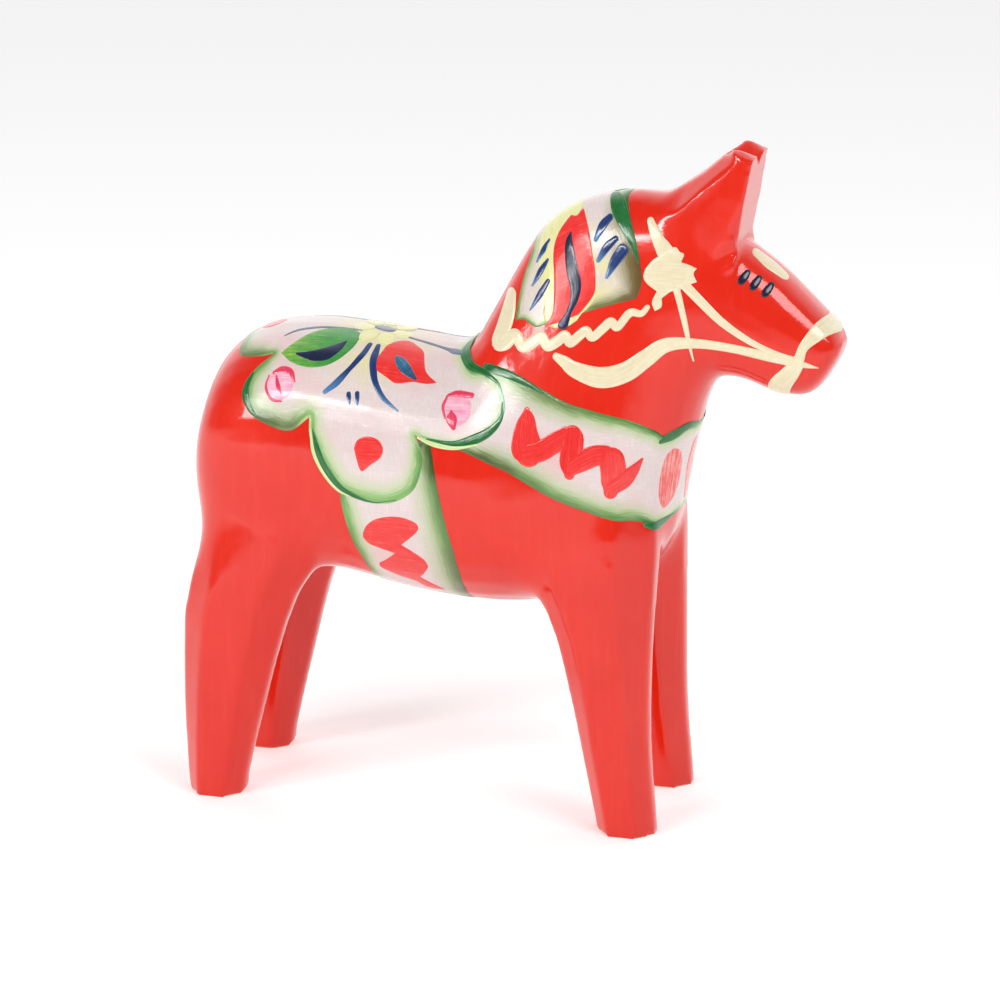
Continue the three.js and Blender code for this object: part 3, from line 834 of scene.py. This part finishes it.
MANE_BORDER = [
    (30.9, 3, 4, 0.9, 0.2, 0, 0), (30.7, 12, 4.5, 1, 0.5, 0, 0), (30.4, 24, 5.6, 0.5, 1, 0, 0),
    (29.8, 44, 6.4, 0.3, 1, 0, 0), (28.6, 62, 6, 0.3, 1, 0, 0), (26.8, 75, 4, 0.4, 1, 0, 0),
    (21, 74, 3, 0.3, 0.8, 0, 0), (14, 70.5, 1.6, 0.2, 0.4, 0, 0), (8, 67, 1.6, 0.3, 0.2, 0, 0),
    (4.8, 58, 1.8, 0.4, 0.3, 0, 0), (2.8, 47, 1.8, 0.4, 0.4, 0, 0), (4.6, 31, 1.8, 0.3, 0.4, 0, 0),
    (8, 16, 2.2, 0.5, 0.2, 0, 0), (10.3, 2, 2.2, 0.4, 0.2, 0, 0),
]


def flipped_girth():
    """The belly crossing and the left half of the girth, ending where its right half begins."""
    left = [[(s, 360 - degrees) for s, degrees in reversed(curve)] for curve in GIRTH]
    back = [[(s, 360 - degrees) for s, degrees in reversed(curve)] for curve in reversed(GIRTH_BACK)]
    return left + back + GIRTH_BACK


def field_pieces(skin):
    blanket = field_material("blanket_paint", yellow_at=(37, 4, 0))
    girth = field_material("girth_paint")
    collar = field_material("collar_paint")
    mane = field_material("mane_paint", yellow_at=(17, 14, 0), dull=BROWN)
    collar_half = [COLLAR_UPPER, COLLAR_BACK, COLLAR_LOWER]
    paint("girth_field", skin, [Patch(TORSO, GIRTH + flipped_girth())], girth, ["girth_band"],
          border=GIRTH_BORDER)
    paint("collar_field", skin, [Patch(CHEST, both_halves(collar_half))], collar,
          ["breast_collar"], base=0.02, border=COLLAR_BORDER)
    paint("blanket_field", skin, [Patch(TORSO, both_halves(BLANKET))], blanket,
          ["saddle_blanket"], base=0.06, border=BLANKET_BORDER)
    paint("mane_field", skin, [Patch(CREST, both_halves(MANE))], mane, ["mane_panel"],
          border=MANE_BORDER)


# Marks on the blanket: strokes are (along, degrees, width), outlines are (along, degrees).
LEAF = [[(20, 30), (22.2, 22.6), (25, 15), (28, 10.4), (31.4, 9), (33.8, 12.6), (34, 19), (33.4, 25),
         (32, 31), (29.4, 36), (26.2, 37.6), (22.8, 35.4), (20, 30)]]
LEAF_VEIN = [(23.3, 30.4, 0.5), (25, 31, 1.3), (27, 31, 2.2), (29, 29.2, 2.6), (30.6, 25.6, 2),
             (31.8, 20.6, 0.6)]
HEART = [
    [(39.6, 17), (41.4, 12.6), (43.2, 11.6), (45, 14.6), (46.7, 19), (47.5, 25), (48.5, 32), (51, 37.4)],
    [(51, 37.4), (49, 39), (46.4, 39), (43.4, 41), (41.2, 38.2), (39.6, 36)],
    [(39.6, 36), (38.2, 33), (39, 24), (39.6, 17)],
]
HEART_COMMA = [(42.4, 26, 1.1), (43.4, 29, 2.1), (44.9, 33, 1.9), (46.8, 37, 0.7)]
BLUE_STROKES = [
    [(36.4, 20, 1), (35.7, 28, 1.2), (34.2, 36, 1), (32.4, 43.5, 1.3), (30.3, 49, 0.9)],
    [(38, 20, 0.9), (38.1, 28, 1.5), (38.6, 35, 1.4), (39.5, 41.5, 1.1), (41.5, 49, 0.9), (44.6, 55, 0.3)],
]
GREY_STROKES = [
    [(33.4, 9, 0.5), (29.5, 9.6, 0.7), (25.5, 11, 0.8), (21.8, 14, 0.8), (19.5, 18.5, 0.4)],
    [(40.6, 7, 0.5), (45.8, 10, 0.7), (50.2, 12.8, 0.9), (52.4, 15, 1.7), (54.2, 17.5, 0.9)],
]
DROPS = [
    [(34.9, 49, 0.9), (35.1, 51, 0.9), (35.4, 54, 0.3)],
    [(36.5, 48.4, 0.9), (36.7, 51, 0.8), (36.9, 54, 0.3)],
]
REAR_DOT = ((21.2, 46.5), (5.6, 5.4))
FRONT_DOT = ((55.7, 51), (5.4, 5.8))
CENTRE_DOT = [[(36.8, 76), (37.5, 71.4), (39.4, 69.3), (41.5, 70.8), (42.5, 75.5), (42, 80.5), (40.2, 84.6),
               (38.4, 88.4), (37.4, 82), (36.8, 76)]]
REAR_DOT_STROKES = [
    [(19.6, 40.5, 0.6), (21.2, 39, 1.2), (23, 40.5, 1.1), (24.1, 45, 0.3)],
    [(18.7, 42, 0.3), (18.5, 48, 0.5), (20, 54, 0.5), (22, 55, 0.3)],
    [(20.2, 42, 0.3), (20.9, 47, 0.9), (21.8, 51, 0.3)],
]
FRONT_DOT_STROKES = [
    [(53.6, 43.4, 0.5), (55.3, 42.2, 1.2), (58, 42.6, 1)],
    [(53.4, 44, 0.4), (52.9, 50, 0.5), (53.6, 56, 0.4)],
    [(54.6, 52, 0.4), (54.9, 56.5, 2.1), (55.4, 61, 0.8)],
]
FLOWER_CENTRE = (37.2, 2)
FLOWER_PETALS = 7
FLOWER_RADIUS = 4
GIRTH_BLOBS = [
    [(38, 123), (39, 118), (41, 114), (43.7, 112), (46.4, 112), (48.8, 114.4), (49.2, 117.6), (48, 121.4),
     (45.6, 127)],
    [(45.6, 127), (47.6, 130), (49.6, 133.6), (50.2, 138), (49, 143), (48, 146)],
    [(48, 146), (50, 150.4), (52.4, 155)],
    [(52.4, 155), (48.8, 156.6), (46.6, 151.4), (43.4, 149), (40.4, 145), (40.2, 141), (41.6, 138),
     (43.8, 132.6)],
    [(43.8, 132.6), (41.4, 131), (39.2, 129.4), (38, 126), (38, 123)],
]
BLANKET_ACCENTS = [
    [(28.7, 68, 0.4), (29.7, 78, 1.2), (31.2, 88, 1.5), (33.6, 97, 1.4), (36.6, 101.8, 0.9),
     (40.6, 104.8, 0.4), (45, 102.8, 0.25)],
    [(64.2, 46, 0.3), (64.2, 54, 0.8), (62.1, 61.5, 1.7), (59.2, 66.6, 1.9), (55.6, 69.8, 1.2),
     (50.6, 68.4, 0.4)],
    [(54.9, 3, 0.8), (54.6, 10, 1.7), (54.6, 17, 1.9), (56.6, 26.4, 1.5), (59.6, 31, 0.9),
     (62.6, 36.4, 0.4)],
    [(15.2, 40, 0.5), (14.4, 46, 1.3), (14.4, 52, 1.5), (15.4, 58, 1), (17, 63, 0.4)],
]
# Pale lime strokes along the lower edges of two lobes: painted highlights on the raised borders.
BLANKET_RIM_HIGHLIGHTS = [
    [(28.2, 68, 0.3), (29, 80, 0.7), (31, 91, 0.8), (33.6, 99.2, 0.7), (36.2, 102.8, 0.3)],
    [(48.9, 68, 0.4), (52, 70.8, 0.9), (56, 71.8, 0.8), (60.3, 69, 0.3)],
]


def petals():
    """Yellow dabs in a ring round the flower's centre."""
    shapes = []
    for number in range(FLOWER_PETALS):
        angle = 2 * math.pi * (number + 0.3) / FLOWER_PETALS
        along = FLOWER_CENTRE[0] + FLOWER_RADIUS * math.cos(angle)
        degrees = FLOWER_CENTRE[1] + FLOWER_RADIUS * math.sin(angle) / TORSO.per_degree
        shapes.append(oval(TORSO, (along, degrees), (4.2, 3.2), math.degrees(angle)))
    return shapes


def strokes(wrap, paths):
    return [Stroke(wrap, path) for path in paths]


def paint_marks(skin, colours, marks, word, side):
    """Paints one side's marks. Each is its name, its shapes, its colour and how high it lies."""
    for name, shapes, colour, base in marks:
        paint(f"{name}_{word}", skin, shapes, colours[colour], side=side, base=base,
              height=STROKE_HEIGHT)


def blanket_pieces(skin, colours):
    for word, side in SIDES:
        marks = [
            ("blanket_leaf", [Patch(TORSO, LEAF, 0.35)], "leaf", 0.16),
            ("blanket_leaf_vein", [Stroke(TORSO, LEAF_VEIN)], "navy", 0.24),
            ("blanket_heart", [Patch(TORSO, HEART, 0.35)], "coral", 0.16),
            ("blanket_heart_comma", [Stroke(TORSO, HEART_COMMA)], "teal", 0.24),
            ("blanket_blue_strokes", strokes(TORSO, BLUE_STROKES), "blue", 0.17),
            ("blanket_grey_strokes", strokes(TORSO, GREY_STROKES), "slate", 0.17),
            ("blanket_drops", strokes(TORSO, DROPS), "blue", 0.17),
            ("blanket_pink_dots", [oval(TORSO, *REAR_DOT), oval(TORSO, *FRONT_DOT)], "pink", 0.16),
            ("blanket_dot_strokes", strokes(TORSO, REAR_DOT_STROKES + FRONT_DOT_STROKES), "crimson", 0.22),
            ("blanket_red_dot", [Patch(TORSO, CENTRE_DOT, 0.35)], "coral", 0.16),
            ("girth_blobs", [Patch(TORSO, GIRTH_BLOBS, 0.35)], "coral", 0.1),
            ("blanket_accents", strokes(TORSO, BLANKET_ACCENTS), "forest", 0.15),
            # Painted rim highlights in pale lime along the lobes' lower edges.
            ("blanket_rim_highlights", strokes(TORSO, BLANKET_RIM_HIGHLIGHTS), "lime_highlight", 0.17),
        ]
        paint_marks(skin, colours, marks, word, side)
    paint("blanket_spine_dot", skin, [oval(TORSO, (15, 0), (4.6, 4.8))], colours["coral"],
          base=0.16, height=STROKE_HEIGHT)
    paint("blanket_petals", skin, petals(), colours["lemon"], base=0.18, height=STROKE_HEIGHT)
    paint("blanket_flower_centre", skin, [oval(TORSO, FLOWER_CENTRE, (4.4, 2.4), 12)], colours["slate"],
          base=0.3, height=0.08)


# Marks on the mane, the collar and the head.
MANE_S = [
    [(19.4, 10), (20.6, 12), (22, 10), (22.3, 20), (21.7, 33), (20.7, 48), (19.1, 61), (15.2, 71.5)],
    [(15.2, 71.5), (11, 71), (8, 68.6)],
    [(8, 68.6), (10.2, 61), (11.4, 51), (12.9, 35), (14.2, 22), (16.2, 15), (19.4, 10)],
]
MANE_YELLOW = [(19, 6, 6), (17.6, 12, 9.5), (16.4, 24, 11.8), (15.6, 38, 11.4), (14.6, 52, 11),
               (12.4, 62, 8.4)]
MANE_VEIN = [(18.7, 19, 0.5), (17.7, 24, 1.8), (16.9, 36, 2.5), (16.5, 48, 2.4), (15.3, 58, 1.8),
             (13.3, 67, 1.4), (11.6, 74, 2.2)]
MANE_COMMAS = [
    [(13.9, 15.5, 0.6), (12.2, 18, 1.2), (10.3, 21, 0.5)],
    [(12.6, 24.5, 0.6), (10.4, 28, 1.3), (8, 32.5, 0.4)],
    [(11.4, 36.5, 1), (9, 42, 1.4), (6.2, 49, 0.4)],
    [(26.9, 19.5, 1), (25, 22.5, 1.3), (23, 27.5, 0.7)],
    [(26.8, 31, 0.9), (24.5, 34, 1.3), (22.2, 39, 0.7)],
    [(27.4, 38.5, 2), (25.2, 43.5, 1.9), (22.6, 52, 0.5)],
]
COLLAR_ZIGZAG = [
    [(80.4, 111, 1.4), (78.8, 110, 3.6), (76.3, 109, 5), (74, 107, 6), (72.8, 105, 5)],
    [(72.8, 105, 4), (73.6, 98, 4), (75, 91, 4), (76.3, 84, 3.8)],
    [(76, 79.5, 5), (73.6, 80, 4.8), (71.4, 81, 4.2), (69.6, 81, 2.2)],
    [(70.9, 79, 3), (72.1, 73, 3.8), (73.1, 66, 3.8), (73.3, 60, 3.6)],
    [(72.4, 57, 4.8), (70.1, 56.4, 4.8), (67.9, 57, 4.2), (66.4, 58, 2.6)],
    [(67.3, 57, 2.8), (68.6, 51, 3.2), (70.2, 46, 2.2), (72.3, 41, 0.5)],
]
SIDE_DAB = [[(73.6, 23), (72.2, 27.6), (68.8, 30.4), (64.8, 30.8), (62, 27), (62.6, 20.6), (65, 15),
             (69, 13.6), (72.4, 17), (73.6, 23)]]
MIDDLE_DAB = [(73, 3, 2.4), (68, 1.4, 3.8), (62.8, -1, 2.8)]
COLLAR_ACCENTS = [
    [(75.2, 31, 1), (76, 25, 1.8), (77.2, 15, 1.4), (77, 6, 0.6)],
    [(59.7, 40, 0.8), (59.2, 33, 1.7), (59.4, 24, 1.4), (59.8, 14, 0.6)],
]
ZIGZAG = [
    (63.2, 99.6, 2.4), (63, 96.6, 3.2), (62.3, 93.4, 3.2), (61.6, 91.3, 2.6), (63.4, 91.5, 2.5),
    (65.2, 93.1, 2.3),
    (67, 91.4, 2.2), (69, 92.4, 2.2), (70.6, 93.6, 2.1), (72, 92.1, 2), (74, 93.2, 2), (75.4, 94.3, 1.9),
    (76.4, 93.1, 1.8), (78, 94.4, 1.8), (79.4, 95.5, 1.7), (80.6, 94.4, 1.6), (82.4, 96, 1.7),
    (84, 97.4, 1.7), (85.2, 96.5, 1.5), (87.4, 99.2, 1.5), (89.5, 99.2, 1.2), (90.6, 100.4, 1),
]
REIN = [
    (73.9, 90.4, 1.4), (75.6, 89.6, 2.2), (77.7, 88.4, 2.9), (82.5, 87.3, 3.8), (87, 88.4, 3.7),
    (90.6, 91, 3.3),
    (94.3, 93.6, 2.7), (99.8, 94, 1.9), (106.7, 93.3, 1.7), (113.6, 91.9, 1.8), (118.4, 90.8, 1.3),
    (121.6, 90.1, 0.2),
]
BROW_STRAP = [(90, 115.6, 1.3), (90.8, 114.2, 1.8), (91.9, 112.4, 2.3), (93.1, 110.8, 3), (94.3, 109, 3.4)]
THROAT_STRAP = [(95.4, 105.2, 1.4), (96.6, 101.4, 1.2), (97.8, 96.8, 1), (99, 90.6, 0.3)]
CHEEK_STRAP = [(96.8, 105.2, 1.8), (100, 102.2, 1.7), (104.4, 98.2, 1.5), (109.2, 95, 1.2),
               (113.6, 92.9, 1), (117.7, 91.6, 0.9)]
ROSETTE = [
    [(89.8, 107.2), (91, 108.8), (92.6, 110)], [(92.6, 110), (94, 111), (95.2, 111.4), (96, 110.6)],
    [(96, 110.6), (96.8, 110.2), (96.4, 108.8)], [(96.4, 108.8), (97.8, 108.4), (99.3, 107.8)],
    [(99.3, 107.8), (98.8, 106.8), (99.5, 105.4)], [(99.5, 105.4), (98, 104.8), (96.8, 104)],
    [(96.8, 104), (94.8, 103.4), (93.2, 102.2)], [(93.2, 102.2), (93.2, 100.6), (92, 99.8)],
    [(92, 99.8), (91.4, 101.4), (92.2, 103.4)], [(92.2, 103.4), (90.4, 104.6), (89.6, 105.8),
     (89.8, 107.2)],
]
NOSEBAND_HALF = [(31.1, 0, 3.5), (30.6, 24, 3.4), (29.6, 48, 2.8), (28.7, 72, 1.8), (28.9, 88, 1.9),
                 (29, 100, 2.5), (28.6, 114, 3.3), (27.9, 134, 4), (28.2, 156, 3.6), (28.6, 176, 3)]
NOSEBAND = [(s, -degrees, width) for s, degrees, width in reversed(NOSEBAND_HALF[1:])] + NOSEBAND_HALF
BLAZE = [(13, 8.5, 2.4), (16, 9.5, 3), (18.9, 9.5, 2.5)]
EYE_DABS = [(107.7, 106.3), (109.8, 105.3), (112, 104.1)]
MANE_ACCENT = [(28, 3, 1.4), (28.6, 10, 2.6), (28.9, 17, 3), (29.2, 26, 2.2), (29.5, 38, 1.2),
               (29.2, 50, 0.4)]
COLLAR_TOP_ACCENT = [(86.9, 142, 1.4), (86.2, 128, 1.4), (84.8, 112, 0.9), (83.6, 101, 0.3)]


def mane_pieces(skin, colours):
    for word, side in SIDES:
        marks = [
            ("mane_yellow", [Stroke(CREST, MANE_YELLOW, 0.4)], "lemon", 0.1),
            ("mane_tongue", [Patch(CREST, MANE_S, 0.35)], "coral", 0.17),
            ("mane_vein", [Stroke(CREST, MANE_VEIN)], "navy", 0.24),
            ("mane_commas", strokes(CREST, MANE_COMMAS), "blue", 0.18),
            ("mane_accent", [Stroke(CREST, MANE_ACCENT)], "forest", 0.15),
        ]
        paint_marks(skin, colours, marks, word, side)
        paint(f"zigzag_trim_{word}", skin, [Stroke(FLANK, ZIGZAG)], colours["cream"],
              [f"mane_zigzag_{word}"], side, base=0.02, height=0.2)


def collar_pieces(skin, colours):
    for word, side in SIDES:
        marks = [
            ("collar_zigzag", strokes(CHEST, COLLAR_ZIGZAG), "coral", 0.12),
            ("collar_dab", [Patch(CHEST, SIDE_DAB, 0.35)], "rose", 0.12),
            ("collar_accents", strokes(CHEST, COLLAR_ACCENTS + [COLLAR_TOP_ACCENT]), "forest", 0.12),
        ]
        paint_marks(skin, colours, marks, word, side)
    paint("collar_dab_middle", skin, [Stroke(CHEST, MIDDLE_DAB)], colours["rose"],
          base=0.12, height=STROKE_HEIGHT)


def head_pieces(skin, colours):
    for word, side in SIDES:
        headstall = strokes(FLANK, [BROW_STRAP, THROAT_STRAP, CHEEK_STRAP])
        headstall.append(Patch(FLANK, ROSETTE, 0.3))
        paint(f"headstall_strokes_{word}", skin, headstall, colours["cream"],
              [f"headstall_{word}"], side, base=0.06, height=0.16)
        paint(f"rein_stroke_{word}", skin, [Stroke(FLANK, REIN)], colours["cream"],
              [f"rein_{word}"], side, base=0.02, height=0.18)
        for number, (x, z) in enumerate(EYE_DABS, 1):
            dab = Stroke(FLANK, [(x + 0.4, z + 0.7, 1.2), (x, z, 1.5), (x - 0.35, z - 0.6, 1.4)], 0.25)
            paint(f"eye_dab_{word}_{number}", skin, [dab], colours["ink"],
                  [f"eye_mark_{word}_{number}"], side, base=0.02, height=0.2)
    paint("noseband_stroke", skin, [Stroke(HEAD, NOSEBAND)], colours["cream"], ["noseband"],
          base=0.1, height=0.16)
    paint("blaze_dab", skin, [Stroke(HEAD, BLAZE)], colours["cream"], ["forehead_blaze"],
          base=0.02, height=0.18)


# Each paint: its colours along a streak as (position, red, green, blue), and how the brush pulls it.
STROKE_PAINTS = {
    "cream": ([(0.3, 232, 218, 180), (0.5, 243, 232, 198), (0.75, 246, 240, 214)], {"streaks": 0.8}),
    "leaf": (
        [(0.3, 196, 208, 120), (0.5, 132, 184, 74), (0.75, 72, 158, 66), (1, 52, 140, 68)],
        {"lengthwise": 0.45}),
    "navy": ([(0.3, 18, 24, 48), (0.6, 28, 42, 74), (0.8, 58, 96, 124)], {"tail": rgb(30, 30, 84)}),
    "teal": ([(0.3, 20, 26, 60), (0.5, 44, 106, 140), (0.75, 92, 160, 186)], {"tail": rgb(60, 44, 84)}),
    "blue": ([(0.3, 20, 30, 80), (0.6, 34, 64, 126), (0.85, 88, 136, 186)], {"tail": rgb(98, 156, 206)}),
    "slate": ([(0.3, 84, 96, 116), (0.6, 112, 122, 144), (0.85, 160, 172, 178)], {}),
    "coral": ([(0.3, 236, 36, 36), (0.56, 242, 56, 52), (0.74, 246, 96, 88), (0.95, 250, 150, 142)], {}),
    "rose": ([(0.3, 236, 56, 54), (0.5, 242, 96, 92), (0.68, 248, 170, 164)], {"streaks": 1.1}),
    "pink": ([(0.3, 244, 134, 164), (0.5, 248, 178, 200), (0.72, 250, 214, 228)], {}),
    "crimson": ([(0.3, 226, 44, 84), (0.6, 236, 70, 104), (0.85, 244, 130, 154)], {}),
    "lemon": ([(0.3, 226, 222, 140), (0.5, 238, 235, 168), (0.75, 240, 238, 202)], {}),
    "forest": ([(0.3, 14, 84, 36), (0.6, 40, 120, 60), (0.85, 120, 174, 104)], {}),
    # Pale lime for the painted rim highlights on the blanket's borders.
    "lime_highlight": ([(0.3, 196, 222, 140), (0.6, 222, 238, 172), (0.85, 236, 246, 204)], {}),
    "ink": ([(0.3, 14, 16, 34), (0.6, 24, 28, 56), (0.85, 52, 66, 96)], {}),
}


def stroke_colours():
    paints = {}
    for word, (stops, brushing) in STROKE_PAINTS.items():
        shades = [(at, rgb(*shade)) for at, *shade in stops]
        paints[word] = stroke_material(f"{word}_paint", shades, **brushing)
    return paints


# ---------------------------------------------------------------- stage, light and camera

AZIMUTH = 16.2
ELEVATION = 16.4
DISTANCE = 852.8
LENS = 162.4
TARGET = (59.4, 0, 58.1)

# The room's light grows from in front of the horse, on its right, to behind it.
WORLD_LIGHT = (0.21, 1.36)
WORLD_FADE = (-0.15, 0.65)
# The white floor, which is also the background of the picture.
PALE = (0.9, 0.9, 0.9, 1)
FLOOR_GLOW = 0.27
# Each softbox: azimuth and elevation in degrees, distance and size in metres, power in watts.
SOFTBOXES = [
    ("window_softbox", -29, 31, 0.9, (0.5, 0.08), 3),
    ("low_softbox", -46, 16, 1, (0.22, 0.18), 2),
    ("front_softbox", 57, 40, 0.9, (0.45, 0.3), 3.4),
]


def toward(azimuth, elevation):
    """The direction from the horse at an azimuth round from its right side and an elevation, in degrees."""
    a, e = math.radians(azimuth), math.radians(elevation)
    return Vector((math.sin(a) * math.cos(e), -math.cos(a) * math.cos(e), math.sin(e)))


def aim(thing, target):
    thing.rotation_euler = (target - thing.location).to_track_quat("-Z", "Y").to_euler()


def add_camera():
    camera = bpy.data.objects.new("camera", bpy.data.cameras.new("camera"))
    bpy.context.scene.collection.objects.link(camera)
    camera.data.lens = LENS
    camera.data.sensor_width = 36
    camera.data.clip_start = 0.01
    target = place(*TARGET)
    camera.location = target + toward(AZIMUTH, ELEVATION) * DISTANCE * MM
    aim(camera, target)
    bpy.context.scene.camera = camera


def add_softbox(name, azimuth, elevation, distance, size, power):
    light = bpy.data.lights.new(name, "AREA")
    light.shape = "RECTANGLE"
    light.size, light.size_y = size
    light.energy = power
    lamp = bpy.data.objects.new(name, light)
    bpy.context.scene.collection.objects.link(lamp)
    target = place(*TARGET)
    lamp.location = target + toward(azimuth, elevation) * distance
    aim(lamp, target)


def add_stage():
    floor = bpy.data.meshes.new("floor")
    reach = 4
    corners = [(-reach, -reach, 0), (reach, -reach, 0), (reach, reach, 0), (-reach, reach, 0)]
    floor.from_pydata(corners, [], [(0, 1, 2, 3)])
    floor.materials.append(plain_stage_material("pale_floor", PALE, 0.9, FLOOR_GLOW))
    new_object("floor", floor)
    world = bpy.data.worlds.new("studio")
    world.use_nodes = True
    tree = world.node_tree
    tree.nodes["Background"].inputs[0].default_value = (1, 1, 1, 1)
    direction = tree.nodes.new("ShaderNodeTexCoord")
    split = tree.nodes.new("ShaderNodeSeparateXYZ")
    tree.links.new(direction.outputs["Generated"], split.inputs[0])
    fade = tree.nodes.new("ShaderNodeMapRange")
    fade.interpolation_type = "SMOOTHSTEP"
    for socket, value in zip(fade.inputs[1:5], (*WORLD_FADE, *WORLD_LIGHT)):
        socket.default_value = value
    tree.links.new(split.outputs["Y"], fade.inputs[0])
    tree.links.new(fade.outputs[0], tree.nodes["Background"].inputs[1])
    bpy.context.scene.world = world
    bpy.context.scene.view_settings.view_transform = "Standard"
    for name, *setup in SOFTBOXES:
        add_softbox(name, *setup)


# ---------------------------------------------------------------- the horse

add_camera()
add_stage()
body = whittled_body()
surface = Skin(body.data)
palette = stroke_colours()
field_pieces(surface)
blanket_pieces(surface, palette)
mane_pieces(surface, palette)
collar_pieces(surface, palette)
head_pieces(surface, palette)
